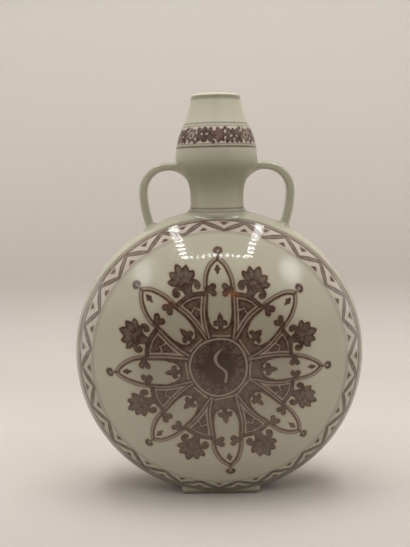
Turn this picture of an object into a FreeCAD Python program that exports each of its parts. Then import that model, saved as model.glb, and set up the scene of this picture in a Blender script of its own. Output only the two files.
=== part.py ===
import FreeCAD, Part
import math
import os

# A porcelain pilgrim flask: two moulded domes, a thrown neck and mouth bulb, two pulled strap handles
# and a slab-built oblong foot, all luted together with slip. Millimetres, +Z up, the painted front
# faces -Y, and the origin is on the floor below the body's centre.

# Driving dimensions: body
body_radius = 110.0
body_half_depth = 52.0
rim_round = 32.0
body_wall = 5.0
body_sink = 4.0

# Driving dimensions: foot
foot_half_width = 30.0
foot_half_depth = 18.5
foot_wall = 5.0
foot_height = 2.6
foot_corner = 4.0
base_thickness = 6.0

# Driving dimensions: neck, as a tube with a plain lower part and a flared top
neck_radius = 20.0
neck_bore = 15.5
neck_waist_rise = 11.0
neck_joint_rise = 22.6
neck_flare = 31.0
neck_fillet = 6.0

# Driving dimensions: mouth bulb, with heights above its joint to the neck
bulb_radius = 30.5
bulb_wall = 4.5
bulb_belly_rise = 14.0
bulb_height = 61.0
bulb_under_round = 12.5
bulb_shoulder_round = 51.0
bulb_shoulder_angle = 25.6
lip_radius = 18.2
lip_round = 2.0
mouth_bore = 13.6
mouth_land = 9.0

# Driving dimensions: strap handles
strap_thickness = 6.0
strap_width = 17.0
strap_edge = 2.2
handle_reach = 55.0
handle_bend = 18.5
handle_top_rise = 8.6
handle_root = 50.3
root_spread = 2.0
root_run = 5.0

# Driving dimensions: slip joints
slip = 0.8

# Heights above the floor that follow from the sizes above
centre_height = body_radius - body_sink
body_top = centre_height + body_radius
waist_height = body_top + neck_waist_rise
neck_top = body_top + neck_joint_rise
bulb_foot = neck_top + slip
belly_height = bulb_foot + bulb_belly_rise
rim_height = bulb_foot + bulb_height
lip_height = rim_height - lip_round
strap_height = bulb_foot + handle_top_rise
slab_bottom = foot_height + slip
slab_top = slab_bottom + base_thickness

up = FreeCAD.Vector(0, 0, 1)
ground = FreeCAD.Vector(0, 0, 0)


def upright(radius, height):
    """Point of an upright profile in the XZ plane."""
    return FreeCAD.Vector(radius, 0, height)


def turned(edges):
    """Solid of an upright profile turned about the neck's axis."""
    return Part.Face(Part.Wire(edges)).revolve(ground, up, 360)


def chain(points):
    """Straight edges through points."""
    return [Part.LineSegment(a, b).toShape() for a, b in zip(points, points[1:])]


def arc_about(centre, radius, first_angle, last_angle):
    """Arc in the XZ plane about a centre, between two angles above +X in degrees."""
    def at(angle):
        turn = math.radians(angle)
        return centre + FreeCAD.Vector(radius * math.cos(turn), 0, radius * math.sin(turn))
    return Part.Arc(at(first_angle), at((first_angle + last_angle) / 2), at(last_angle)).toShape()


def tangent_arc(start, heading, end):
    """Arc in the XZ plane that leaves start along heading and passes through end."""
    side = FreeCAD.Vector(heading.z, 0, -heading.x)
    side.normalize()
    step = end.sub(start)
    radius = step.dot(step) / (2 * step.dot(side))
    centre = start + side * radius
    middle = (start + end) * 0.5 - centre
    middle.normalize()
    return Part.Arc(start, centre + middle * abs(radius), end).toShape()


def dome(growth):
    """The whole body's outer form, grown all round: two broad crowns joined by a rounded rim, turned
    about the body's own axis."""
    rim = FreeCAD.Vector(body_radius - rim_round, 0, 0)
    crown_radius = (rim.x ** 2 + body_half_depth ** 2 - rim_round ** 2) / (2 * (body_half_depth - rim_round))

    def crown(side):
        """Arc from the rim's end to the apex on one side of the seam, and the apex."""
        centre = FreeCAD.Vector(0, side * (body_half_depth - crown_radius), 0)
        apex = FreeCAD.Vector(0, side * (body_half_depth + growth), 0)
        toward_rim = rim.sub(centre)
        toward_rim.normalize()
        toward_middle = toward_rim + FreeCAD.Vector(0, side, 0)
        toward_middle.normalize()
        reach = crown_radius + growth
        meeting = centre + toward_rim * reach
        return Part.Arc(meeting, centre + toward_middle * reach, apex).toShape(), meeting, apex

    front_crown, front_meeting, front_apex = crown(-1)
    rear_crown, rear_meeting, rear_apex = crown(1)
    edge = rim + FreeCAD.Vector(rim_round + growth, 0, 0)
    round_rim = Part.Arc(front_meeting, edge, rear_meeting).toShape()
    axis = Part.LineSegment(rear_apex, front_apex).toShape()
    face = Part.Face(Part.Wire([front_crown, round_rim, rear_crown, axis]))
    solid = face.revolve(ground, FreeCAD.Vector(0, 1, 0), 360)
    solid.translate(FreeCAD.Vector(0, 0, centre_height))
    return solid


def rounded_block(half_x, half_y, low, high, corner):
    """Upright block about the Z axis with rounded upright corners."""
    block = Part.makeBox(2 * half_x, 2 * half_y, high - low, FreeCAD.Vector(-half_x, -half_y, low))
    upright_edges = [edge for edge in block.Edges if edge.BoundBox.ZLength > (high - low) / 2]
    return block.makeFillet(corner, upright_edges)


def side_of_seam(toward):
    """Block that holds one side of the seam: toward is -1 for the front and 1 for the rear."""
    size = 4 * body_radius
    near = slip / 2 if toward > 0 else -slip / 2 - size
    return Part.makeBox(size, size, size, FreeCAD.Vector(-size / 2, near, centre_height - size / 2))


# Body: two half domes with a ring of slip between them
neck_hole = Part.makeCylinder(neck_bore, neck_top - centre_height, upright(0, centre_height))
wall = dome(0).cut(dome(-body_wall)).cut(neck_hole)
foot_pocket = rounded_block(foot_half_width + slip, foot_half_depth + slip, -2 * body_sink, slab_top,
                            foot_corner + slip)
trimmed_wall = wall.cut(foot_pocket)
front_shell = trimmed_wall.common(side_of_seam(-1))
rear_shell = trimmed_wall.common(side_of_seam(1))
seam_slip = trimmed_wall.cut(side_of_seam(-1)).cut(side_of_seam(1))

# Foot: a slab closes the trimmed underside, and a ring of the same outline stands under it
base_slab = rounded_block(foot_half_width, foot_half_depth, slab_bottom, slab_top, foot_corner)
slab_and_ring = rounded_block(foot_half_width, foot_half_depth, -2 * body_sink, slab_top, foot_corner)
base_slip = wall.common(foot_pocket).cut(slab_and_ring)


def foot_frame(low, high):
    """Oblong ring with the foot's outline."""
    outer = rounded_block(foot_half_width, foot_half_depth, low, high, foot_corner)
    inner_corner = max(foot_corner - foot_wall, foot_corner / 4)
    inner = rounded_block(foot_half_width - foot_wall, foot_half_depth - foot_wall, low, high, inner_corner)
    return outer.cut(inner)


foot_ring = foot_frame(0, foot_height)
foot_slip = foot_frame(foot_height, slab_bottom)

# Neck: a tube on the shoulder, plain below its waist and flared above it
flare_centre = upright(neck_radius + neck_flare, waist_height)
flare_angle = math.degrees(math.asin((neck_top - waist_height) / neck_flare))
flare = arc_about(flare_centre, neck_flare, 180, 180 - flare_angle)
neck_top_radius = flare_centre.x - neck_flare * math.cos(math.radians(flare_angle))
neck_profile = [flare] + chain([upright(neck_top_radius, neck_top), upright(neck_bore, neck_top),
                                upright(neck_bore, centre_height), upright(neck_radius, centre_height),
                                upright(neck_radius, waist_height)])
neck = turned(neck_profile).cut(dome(slip))

# Slip under the neck, with a coil smoothed into the angle between neck and shoulder
neck_core = Part.makeCylinder(neck_radius, waist_height - centre_height, upright(0, centre_height))
core_on_body = dome(0).fuse(neck_core)
joint_edges = []
for edge in core_on_body.Edges:
    kinds = [type(face.Surface) for face in core_on_body.ancestorsOfType(edge, Part.Face)]
    if Part.Cylinder in kinds and len(set(kinds)) > 1 and Part.Plane not in kinds:
        joint_edges.append(edge)
smoothed = core_on_body.makeFillet(neck_fillet, joint_edges)
neck_slip = smoothed.cut(dome(0)).cut(neck_core.cut(dome(slip))).cut(neck_hole)

# Mouth bulb: a tight round below, a long shoulder and a hollow curve up to the lip
under_centre = upright(bulb_radius - bulb_under_round, belly_height)
shoulder_centre = upright(bulb_radius - bulb_shoulder_round, belly_height)
shoulder_turn = math.radians(bulb_shoulder_angle)
shoulder_lean = upright(math.cos(shoulder_turn), math.sin(shoulder_turn))
shoulder_top = shoulder_centre + shoulder_lean * bulb_shoulder_round
throat_heading = upright(-shoulder_lean.z, shoulder_lean.x)


def bulb_outside(growth):
    """Edges of the bulb's outer profile from its foot to its shoulder, grown outwards."""
    round_below = bulb_under_round + growth
    start = -math.degrees(math.acos((neck_top_radius - under_centre.x) / round_below))
    below = arc_about(under_centre, round_below, start, 0)
    along = arc_about(shoulder_centre, bulb_shoulder_round + growth, 0, bulb_shoulder_angle)
    first = below.Vertexes[0].Point
    return chain([upright(neck_top_radius, bulb_foot), first]) + [below, along]


lip_outer = upright(lip_radius, lip_height)
lip_inner = upright(mouth_bore, lip_height)
lip_crest = upright((lip_radius + mouth_bore) / 2, rim_height)
land_foot = upright(mouth_bore, lip_height - mouth_land)
inner_under = bulb_under_round - bulb_wall
inner_shoulder = arc_about(shoulder_centre, bulb_shoulder_round - bulb_wall, bulb_shoulder_angle, 0)
inner_round = arc_about(under_centre, inner_under, 0, -90)
inner_floor = inner_round.Vertexes[-1].Point
bulb_profile = bulb_outside(0) + [tangent_arc(shoulder_top, throat_heading, lip_outer)]
bulb_profile += [Part.Arc(lip_outer, lip_crest, lip_inner).toShape()]
bulb_profile += chain([lip_inner, land_foot, inner_shoulder.Vertexes[0].Point])
bulb_profile += [inner_shoulder, inner_round]
bulb_profile += chain([inner_floor, upright(neck_bore, inner_floor.z), upright(neck_bore, bulb_foot),
                       upright(neck_top_radius, bulb_foot)])
mouth_bulb = turned(bulb_profile)
bulb_slip = Part.makeCylinder(neck_top_radius, slip, upright(0, neck_top))
bulb_slip = bulb_slip.cut(Part.makeCylinder(neck_bore, slip, upright(0, neck_top)))


def bulb_envelope(growth):
    """The bulb's lower outer form as a filled solid, grown outwards."""
    edges = bulb_outside(growth)
    top = edges[-1].Vertexes[-1].Point
    axis = [top, upright(0, top.z), upright(0, bulb_foot), upright(neck_top_radius, bulb_foot)]
    return turned(edges + chain(axis))


# Handles: a strap from the bulb's under-round, out, round a bend and down to the shoulder
shoulder_at_root = centre_height + math.sqrt(body_radius ** 2 - handle_root ** 2)
strap_start = upright(under_centre.x, strap_height)
bend_start = upright(handle_reach - handle_bend, strap_height)
bend_end = upright(handle_reach, strap_height - handle_bend)
lower_root = upright(handle_root, shoulder_at_root)
fall_drop = bend_end.z - lower_root.z
fall_inset = handle_reach - handle_root
fall_radius = (fall_drop ** 2 + fall_inset ** 2) / (2 * fall_inset)
root_angle = -math.asin(fall_drop / fall_radius)
sunk_angle = root_angle - 2 * body_wall / fall_radius
root_heading = upright(-math.sin(root_angle), math.cos(root_angle))
strap_bend = arc_about(upright(bend_start.x, bend_end.z), handle_bend, 90, 0)
fall_centre = upright(handle_reach - fall_radius, bend_end.z)
strap_fall = arc_about(fall_centre, fall_radius, 0, math.degrees(sunk_angle))
strap_path = Part.Wire(chain([strap_start, bend_start]) + [strap_bend, strap_fall])


def strap_section(place, heading, growth):
    """Rounded oblong wire across the strap at a place, square to a heading in the XZ plane."""
    half_thick = strap_thickness / 2 + growth
    half_wide = strap_width / 2 + growth
    flat = rounded_block(half_thick, half_wide, 0, strap_thickness, strap_edge + growth)
    wire = min(flat.Faces, key=lambda face: face.CenterOfMass.z).OuterWire.copy()
    turn = math.degrees(math.atan2(heading.x, heading.z))
    wire.rotate(ground, FreeCAD.Vector(0, 1, 0), turn)
    wire.translate(place)
    return wire


def root_collar(place, heading):
    """Tapered lump of slip round a strap's root: widest at the place, thin at the end of its run."""
    wide = strap_section(place - heading * root_run, heading, 2 * root_spread)
    thin = strap_section(place + heading * root_run, heading, root_spread / 8)
    return Part.makeLoft([wide, thin], True, True)


strap = strap_path.makePipeShell([strap_section(strap_start, upright(1, 0), 0)], True, False)
right_handle = strap.cut(bulb_envelope(slip)).cut(dome(slip))
upper_root = upright(under_centre.x + math.sqrt(bulb_under_round ** 2 - (belly_height - strap_height) ** 2),
                     strap_height)
right_handle_bulb_slip = root_collar(upper_root, upright(1, 0)).cut(bulb_envelope(0)).cut(right_handle)
right_handle_body_slip = root_collar(lower_root, root_heading).cut(dome(0)).cut(right_handle)


def mirrored(shape):
    """The same piece on the flask's left side."""
    return shape.mirror(ground, FreeCAD.Vector(1, 0, 0))


pieces = {
    "front_shell": front_shell,
    "rear_shell": rear_shell,
    "seam_slip": seam_slip,
    "base_slab": base_slab,
    "base_slip": base_slip,
    "foot_ring": foot_ring,
    "foot_slip": foot_slip,
    "neck": neck,
    "neck_slip": neck_slip,
    "mouth_bulb": mouth_bulb,
    "bulb_slip": bulb_slip,
    "right_handle": right_handle,
    "right_handle_bulb_slip": right_handle_bulb_slip,
    "right_handle_body_slip": right_handle_body_slip,
    "left_handle": mirrored(right_handle),
    "left_handle_bulb_slip": mirrored(right_handle_bulb_slip),
    "left_handle_body_slip": mirrored(right_handle_body_slip),
}

os.makedirs("parts", exist_ok=True)
for name, shape in pieces.items():
    shape.exportStep("parts/" + name + ".step")
    print(name, "solids", len(shape.Solids), "valid", shape.isValid(), "volume", round(shape.Volume))
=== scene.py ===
# Porcelain pilgrim flask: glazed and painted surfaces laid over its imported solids.
import math

import bpy
import numpy as np
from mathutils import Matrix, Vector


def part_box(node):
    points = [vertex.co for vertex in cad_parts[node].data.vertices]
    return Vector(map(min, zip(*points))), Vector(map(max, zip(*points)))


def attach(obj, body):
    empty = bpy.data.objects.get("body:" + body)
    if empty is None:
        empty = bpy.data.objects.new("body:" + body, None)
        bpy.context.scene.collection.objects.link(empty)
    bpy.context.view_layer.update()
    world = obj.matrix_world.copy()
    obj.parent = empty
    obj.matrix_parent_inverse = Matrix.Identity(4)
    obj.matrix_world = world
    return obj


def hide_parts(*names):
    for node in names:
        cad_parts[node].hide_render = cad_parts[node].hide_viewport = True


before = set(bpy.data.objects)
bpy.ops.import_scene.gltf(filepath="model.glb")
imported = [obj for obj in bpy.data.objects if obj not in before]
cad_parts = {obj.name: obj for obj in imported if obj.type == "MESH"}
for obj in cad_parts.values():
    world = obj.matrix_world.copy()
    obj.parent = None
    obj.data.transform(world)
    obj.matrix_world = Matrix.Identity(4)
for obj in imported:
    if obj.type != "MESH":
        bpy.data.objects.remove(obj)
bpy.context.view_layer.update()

# All shapes below are worked out in millimetres, and grid_piece turns them to metres
mm = 0.001


def node_box(node):
    """Lowest and highest corners of a node, in millimetres."""
    return tuple(np.array(corner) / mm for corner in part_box(node))


# Sizes read from the frame
shell_low, shell_high = node_box("front_shell")
bulb_low, bulb_high = node_box("mouth_bulb")
neck_high = node_box("neck")[1]
strap_high = node_box("right_handle")[1]
foot_high = node_box("foot_ring")[1]
slab_high = node_box("base_slab")[1]

# Body: a broad crown in the middle and a tighter round at the rim
body_radius = shell_high[0]
body_half_depth = -shell_low[1]
seam_half = -shell_high[1]
body_centre = 106.0
body_wall = 5.0
rim_round = 32.0
rim_ring = body_radius - rim_round
crown_radius = (rim_ring ** 2 + body_half_depth ** 2 - rim_round ** 2) / (2 * (body_half_depth - rim_round))
crown_set = crown_radius - body_half_depth
crown_turn = math.atan2(rim_ring, crown_set)
rim_turn = math.pi / 2 - crown_turn
crown_arc = crown_radius * crown_turn
seam_arc = crown_arc + rim_round * (rim_turn - math.asin(seam_half / rim_round))

# Neck and mouth bulb
slip = 2 * seam_half
neck_radius = 20.0
neck_bore = 15.5
neck_top = neck_high[2]
neck_waist = 227.0
neck_fillet = 6.0
bulb_foot = bulb_low[2]
bulb_rim = bulb_high[2]
bulb_radius = bulb_high[0]
bulb_belly = bulb_foot + 14.0
bulb_under_round = 12.5
bulb_shoulder_round = 51.0
bulb_shoulder_turn = math.radians(25.6)
bulb_wall = 4.5
lip_radius = 18.2
lip_round = 2.0
lip_height = bulb_rim - lip_round
mouth_bore = 13.6
mouth_land = 9.0

# The neck's hollow flows into the round under the bulb, so its radius is that of a circle that touches
# both the neck's side at the waist and that round
under_centre = (bulb_radius - bulb_under_round, bulb_belly)
shoulder_centre = (bulb_radius - bulb_shoulder_round, bulb_belly)
waist_offset = neck_radius - under_centre[0]
neck_flare = ((bulb_belly - neck_waist) ** 2 + waist_offset ** 2 - bulb_under_round ** 2) / (
    2 * (bulb_under_round - waist_offset))

# Handles and foot
strap_half_thick = 3.0
strap_half_width = strap_high[1]
handle_reach = strap_high[0] - strap_half_thick
handle_bend = 18.5
handle_root = 50.3
strap_height = strap_high[2] - strap_half_thick
foot_half_width = foot_high[0]
foot_half_depth = foot_high[1]
foot_height = foot_high[2]
foot_corner = 4.0
foot_wall = 5.0
foot_edge = 0.7
bare_edge = 1.2
slab_top = slab_high[2]

# Value of a distance field where nothing is painted, and the angle from which an edge stays sharp
far = 50.0
crisp_edge = math.radians(35)


def grid_piece(name, grid, poles, paint, flat_map=None):
    """Closed piece from a grid of points, rows by columns. Columns close on themselves. Rows close on
    themselves too, or end in the two points of poles, which fans of triangles join to the end rows.
    paint gives the fields that the glaze reads at each point, and flat_map the places for a flat picture
    of the surface."""
    rows, columns = grid.shape[:2]
    index = np.arange(rows * columns).reshape(rows, columns)
    points = grid.reshape(-1, 3)
    here = index if poles is None else index[:-1]
    after = np.roll(index, -1, 0) if poles is None else index[1:]
    quads = np.stack([here, np.roll(here, -1, 1), np.roll(after, -1, 1), after], -1).reshape(-1, 4)
    fans = np.empty((0, 3), int)
    if poles is not None:
        first, last = len(points), len(points) + 1
        points = np.concatenate([points, poles])
        start_ring, end_ring = index[0], index[-1]
        fans = np.concatenate([
            np.stack([np.full(columns, first), np.roll(start_ring, -1), start_ring], -1),
            np.stack([np.full(columns, last), end_ring, np.roll(end_ring, -1)], -1)])
    triangles = np.concatenate([quads[:, :3], quads[:, [0, 2, 3]], fans])
    corners = points[triangles]
    volume = np.einsum("ij,ij->", corners[:, 0], np.cross(corners[:, 1], corners[:, 2]))
    if volume < 0:
        quads, fans = quads[:, ::-1], fans[:, ::-1]
    mesh = bpy.data.meshes.new(name)
    mesh.from_pydata((points * mm).tolist(), [], quads.tolist() + fans.tolist())
    mesh.polygons.foreach_set("use_smooth", np.ones(len(mesh.polygons), bool))
    mesh.set_sharp_from_angle(angle=crisp_edge)
    for field, values in paint(points).items():
        attribute = mesh.attributes.new(field, "FLOAT", "POINT")
        attribute.data.foreach_set("value", np.broadcast_to(values, len(points)).astype(np.float32))
    if flat_map is not None:
        corner_points = np.empty(len(mesh.loops), np.int32)
        mesh.loops.foreach_get("vertex_index", corner_points)
        layer = mesh.uv_layers.new(name="OFBake")
        layer.uv.foreach_set("vector", flat_map(points)[corner_points].astype(np.float32).ravel())
    piece = bpy.data.objects.new(name, mesh)
    bpy.context.scene.collection.objects.link(piece)
    return piece


def arc_points(centre, radius, first, last, count):
    """Points on an arc in a profile plane, from one angle to another, in radians."""
    angle = np.linspace(first, last, count)
    return np.stack([centre[0] + radius * np.cos(angle), centre[1] + radius * np.sin(angle)], -1)


def full_turn(columns):
    """Equally spaced angles once round, in radians."""
    return np.linspace(0, 2 * np.pi, columns, endpoint=False)


def turned_grid(radius, height, columns):
    """A profile of radii and heights carried round the neck's axis."""
    angle = full_turn(columns)
    return np.stack([radius * np.cos(angle), radius * np.sin(angle), height + 0 * angle], -1)


def fillet_curve(start, corner, end, turn, steps):
    """Round between two tangents: a conic from start to end whose tangents meet at corner, with the
    weight of a circle for that turn. The points may be arrays; steps become the first axis."""
    t = np.linspace(0, 1, steps).reshape((-1,) + (1,) * corner.ndim)
    weight = np.cos(turn / 2)[..., None]
    near, middle, end_share = (1 - t) ** 2, 2 * weight * t * (1 - t), t ** 2
    return (near * start + middle * corner + end_share * end) / (near + middle + end_share)


def dome_profile(arc, inset):
    """Radius and depth on the body's profile: the crown's arc from the apex, then the rim's arc to the
    seam. arc is measured along the outer surface, and inset moves both arcs inwards."""
    turn = np.minimum(arc / crown_radius, crown_turn)
    lean = rim_turn - np.maximum(arc - crown_arc, 0) / rim_round
    on_rim = arc > crown_arc
    rim_section = rim_round - inset
    radius = np.where(on_rim, rim_ring + rim_section * np.cos(lean), (crown_radius - inset) * np.sin(turn))
    depth = np.where(on_rim, rim_section * np.sin(lean), (crown_radius - inset) * np.cos(turn) - crown_set)
    return radius, depth


def dome_gap(points):
    """Signed distance from points to the body's outer surface, positive outside."""
    radius = np.hypot(points[..., 0], points[..., 2] - body_centre)
    depth = np.abs(points[..., 1])
    on_rim = np.arctan2(depth, radius - rim_ring) < rim_turn
    rim_gap = np.hypot(radius - rim_ring, depth) - rim_round
    crown_gap = np.hypot(radius, depth + crown_set) - crown_radius
    return np.where(on_rim, rim_gap, crown_gap)


def oblong_gap(x, y, half_x, half_y, corner):
    """Signed distance to an oblong with rounded corners."""
    over_x = np.abs(x) - half_x + corner
    over_y = np.abs(y) - half_y + corner
    outside = np.hypot(np.maximum(over_x, 0), np.maximum(over_y, 0))
    return outside + np.minimum(np.maximum(over_x, over_y), 0) - corner


def shoulder_height(x, y):
    """Height of the body's upper surface over a place near the neck."""
    return body_centre + np.sqrt((rim_ring + np.sqrt(rim_round ** 2 - y ** 2)) ** 2 - x ** 2)


def shoulder_round(radius, angle):
    """Height of the body's upper surface at a distance from the neck's axis, in each direction."""
    return shoulder_height(radius * np.cos(angle), radius * np.sin(angle))


# Painting: distances in millimetres from brush work, seen square to the painted face
span_steps = 5


def smooth_path(points):
    """Curve through points: each span is the cubic whose end slopes are half the step between its
    neighbours, in a few short steps."""
    path = np.asarray(points, float)
    path = np.concatenate([[2 * path[0] - path[1]], path, [2 * path[-1] - path[-2]]])
    t = np.linspace(0, 1, span_steps, endpoint=False)[:, None, None]
    a, b, c, d = path[:-3], path[1:-2], path[2:-1], path[3:]
    spans = b + 0.5 * t * (c - a + t * (2 * a - 5 * b + 4 * c - d + t * (3 * (b - c) + d - a)))
    return np.concatenate([spans.transpose(1, 0, 2).reshape(-1, path.shape[1]), path[-2:-1]])


def stroke(u, v, points):
    """Signed distance to a brush stroke. Each point is (across, along, half-width); the distance is the
    least, over short straight steps of the path, of the distance to the step less its half-width."""
    path = smooth_path(points)
    gap = np.full(u.shape, far)
    for (u0, v0, w0), (u1, v1, w1) in zip(path[:-1], path[1:]):
        span = max((u1 - u0) ** 2 + (v1 - v0) ** 2, 1e-9)
        share = np.clip(((u - u0) * (u1 - u0) + (v - v0) * (v1 - v0)) / span, 0, 1)
        away = np.hypot(u - u0 - share * (u1 - u0), v - v0 - share * (v1 - v0))
        gap = np.minimum(gap, away - w0 - share * (w1 - w0))
    return gap


def spot(u, v, place, radius):
    """Signed distance to a round dab."""
    return np.hypot(u - place[0], v - place[1]) - radius


def leaf(u, v, base, tip, half_width):
    """Signed distance to a pointed leaf: the overlap of two equal circles through base and tip."""
    span_u, span_v = tip[0] - base[0], tip[1] - base[1]
    half = math.hypot(span_u, span_v) / 2
    off_u, off_v = u - (base[0] + tip[0]) / 2, v - (base[1] + tip[1]) / 2
    along = (off_u * span_u + off_v * span_v) / (2 * half)
    across = np.abs(off_u * span_v - off_v * span_u) / (2 * half)
    radius = (half ** 2 + half_width ** 2) / (2 * half_width)
    return np.hypot(along, across + radius - half_width) - radius


def union(*gaps):
    """Signed distance to several shapes together."""
    return np.minimum.reduce(gaps)


# Border: rings and a zigzag ribbon with a dab in each of its triangles. It narrows towards foot and neck.
zigzag_count = 21
zigzag_inner = 95.2
zigzag_height = 8.0
zigzag_lead = 2.0
zigzag_sway = 1.3
zigzag_sway_at = 215.0
zigzag_squeeze = 0.46
border_narrowing = 2.5
border_dip = 1.2
top_narrowing = 2.0
top_lift = 0.5
dab_half_width = 2.6
dab_height = 2.5
dab_rise = 0.6


def triangle_dab(beside, rise):
    """Signed distance to a small triangle that stands on rise zero and points up."""
    flank = np.abs(beside) * dab_height - (dab_height - rise) * dab_half_width
    return np.maximum(-rise, flank / math.hypot(dab_height, dab_half_width))


def border_fields(x, z):
    """Fields of the border at a place of the face: the distance from the body's axis, evened out for the
    narrowing, the distance to the zigzag's middle line, a triangle wave, less where the brush pressed
    harder between its points, and the signed distance to its dabs."""
    radius = np.hypot(x, z)
    turn = np.arctan2(z, x)
    angle = np.degrees(turn)
    lowness = ((1 - z / np.maximum(radius, 1)) / 2) ** 3
    highness = ((1 + z / np.maximum(radius, 1)) / 2) ** 6
    height = zigzag_height - border_narrowing * lowness - top_narrowing * highness
    across = (radius - zigzag_inner + border_dip * lowness - top_lift * highness) / height
    drift = (zigzag_lead + zigzag_sway * np.cos(turn - math.radians(zigzag_sway_at))
             - zigzag_squeeze * np.cos(2 * turn))
    phase = ((angle - drift) / 360 * zigzag_count) % 1
    wave = 1 - np.abs(2 * phase - 1)
    period = 2 * np.pi * zigzag_inner / zigzag_count
    steepness = period / 2 / np.hypot(period / 2, height)
    pressure = 0.7 + 0.45 * np.sin(np.pi * wave)
    zigzag = np.abs(across - wave) * height * steepness / pressure
    rise = across * zigzag_height
    beside_inner = ((phase + 0.5) % 1 - 0.5) * period
    beside_outer = (phase - 0.5) * period
    dabs = np.minimum(triangle_dab(beside_inner, zigzag_height - dab_rise - rise),
                      triangle_dab(beside_outer, rise - dab_rise))
    return {"ring": zigzag_inner + rise, "zigzag": np.minimum(zigzag, far),
            "dark": np.clip(dabs, -far, far)}


# Rosette: eight petals with eight palmettes between them, about a round medallion. Each petal's lean in
# degrees and its reach are as uneven as a painter left them, from the right-hand petal round by the top.
petal_leans = (-1.2, -0.7, 1.3, 0.8, 2.7, 1.9, 3.6, 3.5)
petal_reaches = (73.2, 74.8, 79.3, 80.4, 77.3, 75.2, 77.0, 76.4)
petal_reach = 77.2
rosette_at = (1.2, -1.5)
medallion_at = (-1.1, 0.4)
medallion_edge = 21.6
petal_outline = [(0, 75.5), (3.2, 72.6), (5.4, 69.4), (7.0, 65.8), (8.2, 62.0), (8.8, 57.6), (8.9, 53.6),
                 (9.2, 48.5), (9.6, 43.0), (9.5, 37.5), (8.9, 32.0), (7.8, 26.0), (6.6, 20.5)]


def round_the_rosette(values, angle):
    """Smooth closed curve through eight equally spaced values: their sum of sines, at angles in radians."""
    waves = np.fft.rfft(values) / len(values)
    curve = np.full(angle.shape, waves[0].real)
    for turn, wave in enumerate(waves[1:-1], 1):
        curve += 2 * (wave.real * np.cos(turn * angle) - wave.imag * np.sin(turn * angle))
    return curve + waves[-1].real * np.cos(len(values) / 2 * angle)


def petal_field(u, v):
    """Signed distance to the petal's drawn outline, positive outside; u is the distance from its axis."""
    line = [(across, along, 0) for across, along in petal_outline]
    path = smooth_path(line)
    inside = u < np.interp(v, path[::-1, 1], path[::-1, 0], right=0)
    gap = stroke(u, v, line)
    return np.where(inside, -gap, gap)


def petal_motifs(u, v, outline):
    """Signed distance to the dark work of one petal: an outline that thickens downwards, curls at its
    waist, a drop under its tip, a trefoil on the dark ground below its round bowl, and a curled finial."""
    petal_waist = 54.8
    from_waist = np.abs(v - petal_waist)
    curls = union(stroke(u, from_waist, [(8.8, 0.6, 1.3), (6.4, 0.9, 1.6), (5.0, 1.8, 1.7)]),
                  spot(u, from_waist, (4.2, 2.2), 2.0))
    drop = union(stroke(u, v, [(0, 71.0, 0.8), (0, 68.6, 1.2), (0, 65.8, 0.4)]),
                 spot(u, v, (1.0, 68.8), 0.9))
    centre_leaf = leaf(u, v, (0, 30.6), (0, 40.2), 1.9)
    side_leaf = stroke(u, v, [(0, 31.6, 1.4), (1.7, 33.2, 1.3), (2.9, 33.6, 1.5), (3.6, 32.7, 1.2)])
    stem = stroke(u, v, [(0, 25.0, 3.0), (0, 28.4, 1.8), (0, 30.4, 1.2), (0, 33.0, 1.3)])
    bowl_middle, bowl_radius = 36.4, 7.6
    outside_bowl = bowl_radius - np.hypot(u, v - bowl_middle)
    base = np.maximum.reduce([outline, v - bowl_middle, outside_bowl])
    flank = np.maximum(outline, -outline - np.interp(v, (30, 40, 50, 58), (1.9, 1.1, 0.8, 0.6)))
    finial = stroke(u, v, [(0, 83.2, 0.9), (1.5, 82.6, 0.95), (2.1, 81.2, 1.0), (1.5, 80.2, 1.0)])
    finial_stem = stroke(u, v, [(0, 75.5, 0.7), (0, 79.0, 0.3)])
    return union(curls, drop, centre_leaf, side_leaf, stem, base, flank, finial, finial_stem)


def palmette_motifs(u, v):
    """Signed distances to the dark and the lighter work of one palmette, and to the two dark cells below
    it: scrolls on a trunk with two arms, and five leaves, dark at their edges; u is the distance from its
    axis."""
    scroll = stroke(u, v, [(0.9, 56.2, 1.6), (1.9, 59.2, 1.4), (3.8, 61.7, 1.4), (6.4, 62.2, 1.4),
                           (8.5, 60.8, 1.3), (8.7, 58.6, 1.2), (7.2, 57.6, 1.2), (6.6, 58.9, 1.3)])
    leaves = union(leaf(u, v, (0, 65.2), (0, 77.0), 2.9), leaf(u, v, (1.4, 65.0), (6.6, 73.6), 2.7),
                   leaf(u, v, (2.8, 64.4), (10.2, 68.4), 2.4))
    trunk = stroke(u, v, [(0, 54.2, 1.7), (0, 57.4, 1.6), (0, 62.0, 1.7)])
    arm = stroke(u, v, [(0, 54.4, 1.5), (4.0, 53.7, 1.5), (8.0, 52.6, 1.45), (11.5, 51.8, 1.3)])
    upper_arch = v - 51.3 + 0.025 * u ** 2
    lower_arch = v - 43.8 + 0.06 * u ** 2 - 2.8 * np.exp(-u / 1.2)
    cells = union(np.maximum(upper_arch, 0.8 - lower_arch), np.maximum(lower_arch + 0.8, 37.0 - v))
    leaf_edges = np.abs(leaves + 0.55) - 0.55
    head = union(leaves, spot(u, v, (0, 65.4), 4.2))
    return union(scroll, trunk, arm, leaf_edges), head, cells


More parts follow.
